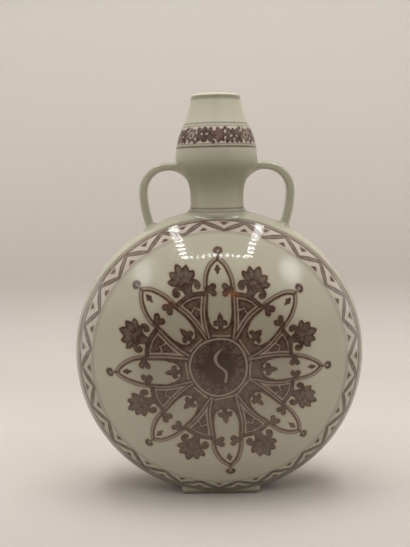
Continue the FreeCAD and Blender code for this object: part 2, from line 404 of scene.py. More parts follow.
def medallion_fields(x, z):
    """Signed distance to what the medallion leaves pale, its winding line and short ticks round its dark
    disc, and the distance from its centre."""
    winding = stroke(x, z, [(2.3, 12.6, 0.2), (0.5, 11.0, 0.7), (-1.6, 8.0, 1.05), (-1.7, 4.6, 1.05),
                            (0.2, 1.4, 0.75), (3.4, -1.0, 0.7), (5.2, -3.8, 0.9), (4.8, -7.2, 0.8),
                            (4.1, -10.2, 0.75)])
    radius = np.hypot(x, z)
    angle = np.arctan2(z, x)
    tick_count = 54
    turn = (angle / (2 * np.pi) * tick_count) % 1 - 0.5
    number = np.floor(angle / (2 * np.pi) * tick_count)
    tick_reach = 1.1 + 1.0 * np.sin(number * 2.4)
    tick_middle = 16.6 + 1.2 * np.sin(number * 5.1)
    tick_fade = 0.1 + 0.14 * np.sin(number * 3.7)
    beside = np.abs(turn) * 2 * np.pi * radius / tick_count
    ticks = np.maximum(beside + tick_fade, np.abs(radius - tick_middle) - tick_reach)
    return union(winding, ticks), radius


def rosette_fields(x, z):
    """Fields of the rosette at a place of the face. The place is swayed a little, as a brush sways, and
    its angle and distance are evened out, so that one petal and one palmette serve all eight."""
    swayed_x = x + 0.35 * np.sin(z / 5.3 + 0.7) + 0.3 * np.sin((x + z) / 8.1)
    swayed_z = z + 0.35 * np.sin(x / 6.1 + 1.9) + 0.3 * np.sin((x - z) / 7.3)
    pale, medallion = medallion_fields(swayed_x - medallion_at[0], swayed_z - medallion_at[1])
    off_x, off_z = swayed_x - rosette_at[0], swayed_z - rosette_at[1]
    angle = np.arctan2(off_z, off_x)
    reach = np.hypot(off_x, off_z)
    evening = petal_reach / round_the_rosette(petal_reaches, angle) - 1
    evened_from, evened_over = 22, 38
    reach = reach * (1 + evening * np.clip((reach - evened_from) / evened_over, 0, 1))
    eighth = np.pi / 4
    angle = angle - np.radians(round_the_rosette(petal_leans, angle))
    beside = np.abs((angle + eighth / 2) % eighth - eighth / 2)
    petal_u, petal_v = reach * np.sin(beside), reach * np.cos(beside)
    palm_u, palm_v = reach * np.sin(eighth / 2 - beside), reach * np.cos(eighth / 2 - beside)
    petal = petal_field(petal_u, petal_v)
    dark_palm, palm_head, cells = palmette_motifs(palm_u, palm_v)
    hub = medallion_edge - medallion
    petal_band, bar_radius, bar_half_width, band_top, ground_top = 4.2, 22.6, 6.2, 52, 36.6
    between = petal_band - petal
    base_bar = np.maximum(np.abs(medallion * np.cos(beside) - bar_radius) - 0.45, petal_u - bar_half_width)
    lower_band = np.maximum(np.abs(petal - 2.2) - 0.3, palm_v - band_top)
    ground = np.maximum.reduce([between, palm_v - ground_top, hub])
    dark = union(petal_motifs(petal_u, petal_v, petal), np.maximum(dark_palm, 1.2 - petal),
                 np.maximum(cells, between), lower_band)
    return {"petal": np.where(hub > 0, far, petal), "medallion": medallion, "pale": union(pale, base_bar),
            "dark": np.maximum(dark, hub),
            "middle": union(np.maximum(palm_head, 2.6 - petal), ground)}


def unpainted(points):
    """Painter of a piece where no brush went: the plain value of every field, with an even coat."""
    fields = {name: far for name in ("petal", "pale", "dark", "middle", "zigzag")}
    return {**fields, "medallion": 2 * far, "ring": 0.0, "red": 0.0, "flare": 0.0, "thin": 0.0, "bare": 0.0}


# Spots where the fire turned the pigment orange: strength, place from the body's middle, and half-sizes
orange_flares = ((0.7, 9.5, 51.5, 5, 2.5), (0.4, -37, 46, 4, 3))

# Red at the top of the body: strength, middle and spread across, and where it sets in going up
red_strength, red_middle, red_spread, red_from, red_fade = 0.6, -4, 38, 84, 4


def painted_body(facing):
    """Painter of one half of the body: the rosette and the border on its outer side, red near the top."""
    def paint(points):
        outside = dome_gap(points) > -body_wall / 4
        x, z = points[:, 0] * facing, points[:, 2] - body_centre
        border = border_fields(x, z)
        rosette = rosette_fields(x, z)
        rosette["dark"] = union(rosette["dark"], border.pop("dark"))
        flare = sum(strength * np.exp(-np.hypot((x - at_x) / half_x, (z - at_z) / half_z) ** 2)
                    for strength, at_x, at_z, half_x, half_z in orange_flares)
        red = red_strength * np.exp(-((x - red_middle) / red_spread) ** 2)
        red = red * np.clip((z - red_from) / red_fade, 0, 1)
        fields = {**border, **rosette, "red": red, "flare": flare}
        plain = unpainted(points)
        kept = {name: np.where(outside, values, plain[name]) for name, values in fields.items()}
        return {**plain, **kept}
    return paint


def disc_map(points):
    """Flat picture of a body half: its outer side as a disc by distance along the surface, and its inner
    side as a small disc in one corner."""
    angle = np.arctan2(points[:, 2] - body_centre, points[:, 0])
    lean = np.hypot(points[:, 0], points[:, 2] - body_centre) / body_radius
    depth = np.abs(points[:, 1]) / body_half_depth
    evening = 0.25
    share = np.arctan2(lean, evening + depth) / np.arctan2(1, evening)
    outside = dome_gap(points) > -body_wall / 4
    outer_centre, outer_disc, inner_centre, inner_disc = 0.5, 0.49, 0.08, 0.075
    radius = np.where(outside, outer_disc, inner_disc) * share
    centre = np.where(outside, outer_centre, inner_centre)
    return np.stack([centre + radius * np.cos(angle), centre + radius * np.sin(angle)], -1)


# Body pieces. Rows of a half go by arc, as close as the brush lines need in the rosette and the border.
trim_start = 103.0
trim_steps = 2400
shell_columns = 490
rosette_end, border_start, border_end = 86, 91, 117
rosette_step, plain_step, border_step = 0.6, 1.25, 0.74
edge_rows = 11


def trimmed_end(angle, inset):
    """Arc at which each meridian stops: at the seam, or sooner at the neck's hole or the foot's pocket."""
    arc = np.linspace(trim_start, seam_arc + 2, trim_steps)
    radius, depth = dome_profile(arc, inset)
    x = radius * np.cos(angle)[:, None]
    z = body_centre + radius * np.sin(angle)[:, None]
    in_hole = (z > body_centre) & (np.hypot(x, depth) < neck_bore)
    pocket = oblong_gap(x, depth, foot_half_width + slip, foot_half_depth + slip, foot_corner + slip)
    in_pocket = (z < slab_top) & (pocket < 0)
    stopped = in_hole | in_pocket | (depth < seam_half)
    return arc[np.argmax(stopped, axis=1)]


def shell_half(name, facing):
    """Half of the body: meridians from the apex out to the seam, each a crown arc and a rim arc, and back
    along the inner side. Only the rows past trim_start bend to the neck's hole and the foot's pocket."""
    angle = full_turn(shell_columns)
    arc = np.concatenate([np.arange(rosette_step, rosette_end, rosette_step),
                          np.arange(rosette_end, border_start, plain_step),
                          np.arange(border_start, border_end, border_step),
                          np.linspace(border_end, seam_arc, edge_rows)])[:, None]
    stretch = (trimmed_end(angle, 0) - trim_start) / (seam_arc - trim_start)
    outer_arc = np.where(arc > trim_start, trim_start + (arc - trim_start) * stretch, arc)
    inner_share = np.array([1, 0.95, 0.9, 0.85, 0.8, 0.7, 0.45, 0.2])[:, None]
    inner_arc = inner_share * trimmed_end(angle, body_wall)
    outer = dome_profile(outer_arc, 0)
    inner = dome_profile(inner_arc, body_wall)
    radius = np.concatenate([outer[0], inner[0]])
    depth = np.concatenate([outer[1], inner[1]])
    grid = np.stack([facing * radius * np.cos(angle), -facing * depth,
                     body_centre + radius * np.sin(angle)], -1)
    apexes = [(0, -facing * body_half_depth, body_centre),
              (0, -facing * (body_half_depth - body_wall), body_centre)]
    return grid_piece(name, grid, apexes, painted_body(facing), disc_map)


def seam_arc_piece(name, side):
    """Slip in the seam on one side: a small oblong section carried round the body's edge, from the foot's
    pocket up to the neck's hole."""
    low = -math.acos((foot_half_width + slip) / body_radius)
    high = math.acos(neck_bore / body_radius)
    angle = np.linspace(low, high, 180)[:, None]
    radius = np.array([body_radius - body_wall, body_radius, body_radius, body_radius - body_wall])
    depth = np.array([-seam_half, -seam_half, seam_half, seam_half])
    grid = np.stack([side * radius * np.cos(angle), depth + 0 * angle,
                     body_centre + radius * np.sin(angle)], -1)
    return grid_piece(name, grid, [grid[0].mean(0), grid[-1].mean(0)], unpainted)


# Neck and mouth pieces
neck_columns, neck_rows = 192, 56
coil_columns = 240
bulb_columns = 420


def neck_profile_radius(height):
    """Neck's outer radius: plain below its waist, and a hollow arc above it."""
    rise = np.maximum(height - neck_waist, 0)
    return neck_radius + neck_flare - np.sqrt(neck_flare ** 2 - rise ** 2)


def pooled_glaze_and_shade(points):
    """Glaze gathers in the hollow under the bulb, and its darker coat there also stands in as painted shade
    under the bulb: a bell curve of height, negative for a thick coat.
    """
    pool_depth, pool_height, pool_spread = 1.3, 240, 17
    return -pool_depth * np.exp(-((points[:, 2] - pool_height) / pool_spread) ** 2)


def painted_neck(points):
    """Painter of the neck and its foot: the body's border runs on over them, front and back. Glaze pools on
    the neck, darkened also as painted shade under the bulb.
    """
    facing = np.where(points[:, 1] > 0, -1, 1)
    border = border_fields(points[:, 0] * facing, points[:, 2] - body_centre)
    return {**unpainted(points), **border, "thin": pooled_glaze_and_shade(points)}


def neck_tube(name):
    """Neck: for each direction, up the outer side from the shoulder and down the bore again."""
    angle = full_turn(neck_columns)
    share = np.linspace(0, 1, neck_rows)[:, None]
    low = shoulder_round(neck_radius, angle) + slip
    outer_height = low + share * (neck_top - low)
    outer_radius = neck_profile_radius(outer_height)
    inner_low = shoulder_round(neck_bore, angle) + slip
    inner_height = neck_top + share[::5] * (inner_low - neck_top)
    radius = np.concatenate([outer_radius, np.full(inner_height.shape, neck_bore)])
    height = np.concatenate([outer_height, inner_height])
    return grid_piece(name, turned_grid(radius, height, neck_columns), None, painted_neck)


def neck_coil(name):
    """Slip at the neck's foot: for each direction, a round between the neck and the shoulder, and the
    film of slip under the neck."""
    angle = full_turn(coil_columns)
    corner_height = shoulder_round(neck_radius, angle)
    small = 0.5
    fall = np.arctan((corner_height - shoulder_round(neck_radius + small, angle)) / small)
    run = neck_fillet / np.tan((np.pi / 2 + fall) / 2)
    toe_radius = neck_radius + run * np.cos(fall)
    neck_side = np.full(angle.shape, neck_radius)
    start = np.stack([neck_side, corner_height + run], -1)
    corner = np.stack([neck_side, corner_height], -1)
    toe = np.stack([toe_radius, shoulder_round(toe_radius, angle)], -1)
    round_rows = fillet_curve(start, corner, toe, np.pi / 2 - fall, 16)
    bore = np.stack([np.full(angle.shape, neck_bore), shoulder_round(neck_bore, angle)], -1)
    film = [corner, bore, bore + [0, slip], corner + [0, slip]]
    section = np.concatenate([round_rows, film])
    grid = turned_grid(section[..., 0], section[..., 1], coil_columns)
    return grid_piece(name, grid, None, lambda points: {**painted_neck(points), "thin": -0.6})


def bulb_outline():
    """Bulb's outer profile from its foot to the lip: the neck's hollow, a tight round, a long shoulder and
    a hollow arc that leaves the shoulder along its tangent."""
    meet = math.atan2(neck_waist - bulb_belly, neck_radius + neck_flare - under_centre[0])
    below = arc_points(under_centre, bulb_under_round, meet, 0, 20)
    hollow_height = np.linspace(bulb_foot, below[0, 1], 9)[:-1]
    foot = np.stack([neck_profile_radius(hollow_height), hollow_height], -1)
    along = arc_points(shoulder_centre, bulb_shoulder_round, 0, bulb_shoulder_turn, 58)
    leave = np.array([math.cos(bulb_shoulder_turn), math.sin(bulb_shoulder_turn)])
    start = along[-1]
    step = np.array([lip_radius, lip_height]) - start
    hollow_radius = step @ step / (2 * step @ leave)
    centre = start + leave * hollow_radius
    first = math.atan2(*(start - centre)[::-1])
    last = math.atan2(*(start + step - centre)[::-1])
    hollow = arc_points(centre, hollow_radius, first % (2 * np.pi), last % (2 * np.pi), 40)
    return np.concatenate([foot, below, along[1:], hollow[1:]])


def bulb_inside():
    """Bulb's inner profile from the lip's crest down to its foot."""
    lip_centre = ((lip_radius + mouth_bore) / 2, lip_height)
    half_lip = (lip_radius - mouth_bore) / 2
    crest = arc_points((0, 0), 1, 0, np.pi, 14)[1:] * [half_lip, lip_round] + lip_centre
    land = np.array([[mouth_bore, lip_height - mouth_land]])
    shoulder = arc_points(shoulder_centre, bulb_shoulder_round - bulb_wall, bulb_shoulder_turn, 0, 12)
    below = arc_points(under_centre, bulb_under_round - bulb_wall, 0, -np.pi / 2, 10)
    passage = np.array([[neck_bore, below[-1, 1]], [neck_bore, bulb_foot]])
    return np.concatenate([crest, land, shoulder, below, passage])


# Flower scroll round the bulb
scroll_low = 264.0
scroll_high = 275.5
scroll_middle = (scroll_low + scroll_high) / 2
flower_count = 8
flower_at = math.radians(-86.0)


def scroll_fields(points):
    """Fields of the flower scroll: the bulb's turn is folded into one flower with its leaves, u along the
    band and v up it from its middle. Vine and leaves are the same when turned half round the flower, so
    only those to its right are drawn."""
    radius = np.hypot(points[:, 0], points[:, 1])
    turn = (np.arctan2(points[:, 1], points[:, 0]) - flower_at) / (2 * np.pi) * flower_count
    number = np.round(turn)
    flip = np.where(number % 2 == 0, 1, -1)
    u = (turn - number) * 2 * np.pi * radius / flower_count
    v = (points[:, 2] - scroll_middle) * flip
    petal_angle = np.arctan2(v, u)
    flower = (np.hypot(u, v * 0.9) - 4.3 - 0.7 * np.cos(7 * petal_angle)) * 0.85
    heart = np.abs(np.hypot(u, v) - 2.0) - 0.3
    along, across = np.abs(u), v * np.where(u < 0, -1, 1)
    vine = stroke(along, across, [(4.2, 0.8, 0.6), (6.6, -1.6, 0.7), (9.2, -2.4, 0.7), (11.6, 0, 0.7)])
    leaves = union(leaf(along, across, (6.9, -1.2), (5.4, -5.6), 1.5),
                   leaf(along, across, (9.2, -2.0), (9.8, -5.7), 1.3),
                   leaf(along, across, (7.6, -1.0), (6.4, 4.8), 1.8),
                   leaf(along, across, (9.6, -0.2), (10.8, 5.0), 1.5))
    dots = spot(along, across, (4.4, 4.9), 1.1)
    in_band = np.abs(points[:, 2] - scroll_middle) < 8
    on_shoulder = in_band & (radius > bulb_radius - bulb_wall - 2)
    front = number == 0
    red = np.where(front, 1.0, 0.35) * (flower < 1)
    fields = {"dark": union(vine, leaves, dots, np.where(front, flower, far)), "middle": flower,
              "pale": np.where(front, far, heart)}
    kept = {name: np.where(on_shoulder, values, far) for name, values in fields.items()}
    return {**kept, "red": np.where(on_shoulder, red, 0)}


def painted_bulb(points):
    """Painter of the bulb: its flower scroll, glaze that thins on the lip, and pooled glaze darkened also
    as painted shade low on the bulb.
    """
    crest = 0.5 * np.clip((points[:, 2] - lip_height - 0.2) / lip_round, 0, 1)
    return {**unpainted(points), **scroll_fields(points), "thin": crest + pooled_glaze_and_shade(points)}


def mouth_bulb_piece(name):
    """Mouth bulb: its outer and inner profiles as one loop, carried round the neck's axis."""
    profile = np.concatenate([bulb_outline(), bulb_inside()])
    grid = turned_grid(profile[:, :1], profile[:, 1:], bulb_columns)
    return grid_piece(name, grid, None, painted_bulb)


def joint_ring(name):
    """Slip between neck and bulb: a flat ring carried round the neck's axis."""
    profile = np.array([[neck_bore, neck_top], [neck_profile_radius(neck_top), neck_top],
                        [neck_profile_radius(bulb_foot), bulb_foot], [neck_bore, bulb_foot]])
    grid = turned_grid(profile[:, :1], profile[:, 1:], neck_columns)
    # Glaze pooled in the hollow, darkened also as painted shade under the bulb
    return grid_piece(name, grid, None, lambda points: {**unpainted(points), "thin": pooled_glaze_and_shade(points)})


# Handle pieces
lower_root_height = shoulder_height(handle_root, 0)
bend_height = strap_height - handle_bend
fall_drop = bend_height - lower_root_height
fall_inset = handle_reach - handle_root
fall_radius = (fall_drop ** 2 + fall_inset ** 2) / (2 * fall_inset)
fall_turn = math.asin(fall_drop / fall_radius)
strap_into_body, strap_into_bulb = 2.6, 5.0
thick_power, wide_power = 0.55, 0.45


def strap_outline(columns):
    """Strap's section: a rounded oblong, a superellipse across its thickness and width, and the outward
    direction at each of its points."""
    angle = full_turn(columns)
    cosine, sine = np.cos(angle), np.sin(angle)
    thick = strap_half_thick * np.sign(cosine) * np.abs(cosine) ** thick_power
    wide = strap_half_width * np.sign(sine) * np.abs(sine) ** wide_power
    normal = np.stack([np.gradient(np.r_[wide[-1], wide, wide[0]])[1:-1],
                       -np.gradient(np.r_[thick[-1], thick, thick[0]])[1:-1]], -1)
    return thick, wide, normal / np.linalg.norm(normal, axis=-1, keepdims=True)


def strap_piece(name, side):
    """Strap handle: its section carried out from the bulb, round the bend and down to the shoulder."""
    start = (bulb_radius - strap_into_bulb, strap_height)
    run = np.linspace(start, (handle_reach - handle_bend, strap_height), 8)[:-1]
    bend = arc_points((handle_reach - handle_bend, bend_height), handle_bend, np.pi / 2, 0, 30)
    fall_centre = (handle_reach - fall_radius, bend_height)
    fall = arc_points(fall_centre, fall_radius, 0, -fall_turn - strap_into_body / fall_radius, 26)[1:]
    path = np.concatenate([run, bend, fall])
    heading = np.gradient(path, axis=0)
    heading /= np.linalg.norm(heading, axis=1, keepdims=True)
    outward = np.stack([-heading[:, 1], heading[:, 0]], -1)
    thick, wide, normal = strap_outline(72)
    plane = path[:, None, :] + thick[:, None] * outward[:, None, :]
    grid = np.stack([side * plane[..., 0], np.broadcast_to(wide, plane.shape[:2]), plane[..., 1]], -1)
    ends = [(side * path[0, 0], 0, path[0, 1]), (side * path[-1, 0], 0, path[-1, 1])]

    def paint(points):
        """Glaze lies thick on the strap, and a little less along its two edges."""
        edge_from = 0.86
        edge = np.clip((np.abs(points[:, 1]) / strap_half_width - edge_from) / (1 - edge_from), 0, 1)
        return {**unpainted(points), "thin": 0.3 * edge - 0.9}

    return grid_piece(name, grid, ends, paint)


def bulb_gap(points):
    """Signed distance, measured level, to the outside of bulb and neck."""
    outline = bulb_outline()
    heights = np.linspace(neck_waist, neck_top, 20)
    height = np.concatenate([heights, outline[:, 1]])
    radius = np.concatenate([neck_profile_radius(heights), outline[:, 0]])
    return np.hypot(points[..., 0], points[..., 1]) - np.interp(points[..., 2], height, radius)


def root_collar(name, side, place, heading, surface_gap, run):
    """Slip collar at a strap's root: round the strap's section, a fillet from the strap to the surface
    that it stands on. Where lines along the strap meet that surface is found by halving."""
    thick, wide, normal = strap_outline(120)
    across = np.array([-heading[2], 0, heading[0]])
    sideways = np.array([0.0, 1.0, 0.0])
    reach = run(normal[:, 0], wide / strap_half_width)[:, None]

    def at(section_thick, section_wide, rise):
        """Places over points of the section, that far along the strap."""
        flat = section_thick[:, None] * across + section_wide[:, None] * sideways
        return place + flat + rise[:, None] * heading

    def landing(section_thick, section_wide):
        """How far along the strap each line meets the surface."""
        search_reach, halvings = 14.0, 26
        low = np.full(section_thick.shape, -search_reach)
        high = np.full(section_thick.shape, search_reach)
        for _ in range(halvings):
            middle = (low + high) / 2
            outside = surface_gap(at(section_thick, section_wide, middle)) > 0
            low, high = np.where(outside, low, middle), np.where(outside, middle, high)
        return high

    corner_rise = landing(thick, wide)
    corner = at(thick, wide, corner_rise)
    start = corner + reach * heading
    toe_thick, toe_wide = thick + reach[:, 0] * normal[:, 0], wide + reach[:, 0] * normal[:, 1]
    toe = at(toe_thick, toe_wide, landing(toe_thick, toe_wide))
    round_rows = fillet_curve(start, corner, toe, np.full(thick.shape, np.pi / 2), 14)
    sunk = 0.5
    inward = (normal[:, :1] * across + normal[:, 1:] * sideways) * sunk
    back = np.stack([corner - sunk * heading - inward, start - inward])
    grid = np.concatenate([round_rows, back])
    grid[..., 0] *= side
    return grid_piece(name, grid, None, lambda points: {**unpainted(points), "thin": -0.5})


def handle_pieces(side, word):
    """One handle with its two collars, as pieces paired with the nodes that they stand for."""
    upper_fillet, under_fillet, lower_fillet, root_inset = 2.6, 5.0, 3.4, 1.4
    strap = strap_piece(word + "_handle_glazed", side)
    upper_place = np.array([bulb_radius - root_inset, 0, strap_height])
    upper_heading = np.array([1.0, 0, 0])
    upper = root_collar(word + "_handle_bulb_slip_glazed", side, upper_place, upper_heading, bulb_gap,
                        lambda up, wide: upper_fillet + np.maximum(-up, 0) * under_fillet * (1 - wide ** 2))
    lower_place = np.array([handle_root, 0, lower_root_height])
    lower_heading = np.array([math.sin(fall_turn), 0, math.cos(fall_turn)])
    lower = root_collar(word + "_handle_body_slip_glazed", side, lower_place, lower_heading, dome_gap,
                        lambda up, wide: lower_fillet + 0 * wide)
    return [(strap, word + "_handle"), (upper, word + "_handle_bulb_slip"),
            (lower, word + "_handle_body_slip")]


# Foot piece

def rounded_outline(half_x, half_y, corner, steps):
    """Closed outline of an oblong with rounded corners: four quarter arcs."""
    quarters = []
    for number, (sign_x, sign_y) in enumerate(((1, 1), (-1, 1), (-1, -1), (1, -1))):
        centre = (sign_x * (half_x - corner), sign_y * (half_y - corner))
        quarters.append(arc_points(centre, corner, number * np.pi / 2, (number + 1) * np.pi / 2, steps))
    return np.concatenate(quarters)


def foot_ring_piece(name):
    """Foot ring: a section with softened edges, carried round between the outer and inner outlines. Glaze
    pooled thick on it, its dark coat also standing in as painted shade under the belly, and its lower edge
    is bare clay."""
    outer = rounded_outline(foot_half_width, foot_half_depth, foot_corner, 12)
    inner = rounded_outline(foot_half_width - foot_wall, foot_half_depth - foot_wall, foot_corner / 4, 12)
    section = rounded_outline(foot_wall / 2, foot_height / 2, foot_edge, 5)
    share = (section[:, 0] / foot_wall + 0.5)[:, None, None]
    plan = inner + share * (outer - inner)
    height = np.broadcast_to((section[:, 1] + foot_height / 2)[:, None, None], plan.shape[:2] + (1,))

    def paint(points):
        """Thick glaze, dark enough to serve also as painted shade, and none from the floor up to the bare
        edge's soft upper limit.
        """
        bare = np.clip((bare_edge - points[:, 2]) / foot_edge, 0, 1)
        return {**unpainted(points), "thin": -1.4, "bare": bare}

    return grid_piece(name, np.concatenate([plan, height], -1), None, paint)


# Materials

def linear(hex_colour):
    """Linear colour of an sRGB hex value."""
    parts = np.array([int(hex_colour[i:i + 2], 16) for i in (1, 3, 5)]) / 255
    return (*np.where(parts <= 0.04045, parts / 12.92, ((parts + 0.055) / 1.055) ** 2.4), 1.0)


def per_metre(size):
    """Texture scale whose features are about that many millimetres across."""
    return 1 / (size * mm)


def node(tree, kind, inputs=(), stops=(), **settings):
    """Adds a node: settings are its own properties, inputs maps sockets to values or to other nodes'
    outputs, and stops are the places and colours of a colour ramp."""
    made = tree.nodes.new(kind)
    for name, value in settings.items():
        setattr(made, name, value)
    for socket, value in dict(inputs).items():
        if isinstance(value, bpy.types.NodeSocket):
            tree.links.new(value, made.inputs[socket])
        else:
            made.inputs[socket].default_value = value
    for number, (place, colour) in enumerate(stops):
        elements = made.color_ramp.elements
        stop = elements[number] if number < 2 else elements.new(place)
        stop.position, stop.color = place, colour
    return made


def read_surface(tree, place, patterns, fields):
    """Values over a surface, by name: noise patterns at a place, and fields stored on the mesh."""
    values = {}
    for name, (size, detail) in patterns.items():
        inputs = {"Vector": place, "Scale": per_metre(size), "Detail": detail, "Roughness": 0.55}
        values[name] = node(tree, "ShaderNodeTexNoise", inputs).outputs["Fac"]
    for name in fields:
        values[name] = node(tree, "ShaderNodeAttribute", attribute_name=name).outputs["Fac"]
    return values


def coated(tree, colour, coats):
    """Colour with coats laid over it in turn, each a share, a colour and how the two blend."""
    for share, coat, blend in coats:
        inputs = {0: share, 6: colour, 7: coat}
        colour = node(tree, "ShaderNodeMix", inputs, data_type="RGBA", blend_type=blend).outputs[2]
    return colour


def share_along(tree, *curves):
    """Share from 0 to 1 over a surface: the product of curves, each a value and the places along it, with
    their levels, between which the curve runs straight."""
    levels = []
    for value, bends in curves:
        low, high = bends[0][0], bends[-1][0]
        along = node(tree, "ShaderNodeMapRange", {"Value": value, "From Min": low, "From Max": high})
        stops = [((place - low) / (high - low), (level, level, level, 1)) for place, level in bends]
        levels.append(node(tree, "ShaderNodeValToRGB", {"Fac": along.outputs[0]}, stops).outputs["Color"])
    return coated(tree, levels[0], [(1.0, level, "MULTIPLY") for level in levels[1:]])


# Noise patterns of glaze and brush: the size of their spots in millimetres, and levels of finer detail.
# Pinholes, grit and the marks of bristles are finer in truth, and drawn as coarse as they need to show.
glaze_patterns = {"tone": (55, 2), "ripple": (9, 2), "pinhole": (0.7, 2), "wear": (4, 3), "grit": (2, 3)}
brush_patterns = {"hand": (3.4, 3), "bristle": (1.1, 2), "cover": (5, 4), "hue": (9, 3),
                  "speckle": (2.6, 3)}
glaze_fields = ("thin", "bare")
brush_fields = ("petal", "medallion", "ring", "zigzag", "dark", "middle", "pale", "red", "flare")

# Brush marks: the value that each follows, and how densely the brush covered at places along it. They are
# the petals' lines, the medallion's disc and rings, the border's rings, its zigzag ribbon, the dark and the
# lighter motifs, and the lines turned round neck, bulb and lip.
brush_marks = (
    ("petal", [(-4, 0), (-1.2, 0.06), (-0.65, 0.93), (0.45, 0.93), (0.9, 0.14), (1.5, 0.14), (1.9, 0.6),
               (2.3, 0.58), (2.9, 0.04), (5, 0)]),
    ("medallion", [(18, 0.93), (19.5, 0.93), (19.9, 0.1), (20.9, 0.1), (21.25, 0.9), (22.0, 0.88),
                   (22.4, 0), (24, 0)]),
    ("ring", [(90, 0), (91.9, 0), (92.3, 0.24), (92.8, 0.24), (93.2, 0.08), (93.5, 0.08), (93.8, 0.36),
              (94.4, 0.36), (94.8, 0), (103.5, 0), (103.9, 0.85), (104.7, 0.8), (105.2, 0.58),
              (106.8, 0.55), (107.6, 0.1), (109, 0)]),
    ("zigzag", [(0, 0.76), (0.6, 0.78), (0.95, 0.93), (1.15, 0.9), (1.6, 0), (4, 0)]),
    ("dark", [(-3, 0.88), (-1.2, 0.9), (-0.5, 0.97), (-0.05, 0.95), (0.65, 0), (2, 0)]),
    ("middle", [(-2, 0.86), (-0.1, 0.82), (0.65, 0), (2, 0)]),
    ("height", [(212, 0), (213.9, 0), (214.2, 0.44), (214.8, 0.44), (215.1, 0.05), (216.1, 0.05),
                (216.5, 0.58), (217.3, 0.58), (217.7, 0), (260.6, 0), (261.0, 0.75), (262.0, 0.75),
                (262.4, 0.1), (263.0, 0.1), (263.3, 0.5), (263.8, 0.5), (264.2, 0), (275.8, 0),
                (276.2, 0.45), (276.8, 0.45), (277.2, 0.05), (277.8, 0.05), (278.2, 0.55), (278.9, 0.55),
                (279.3, 0), (295.4, 0), (296.6, 0.5), (298.2, 0.62), (299.4, 0), (302, 0)]))


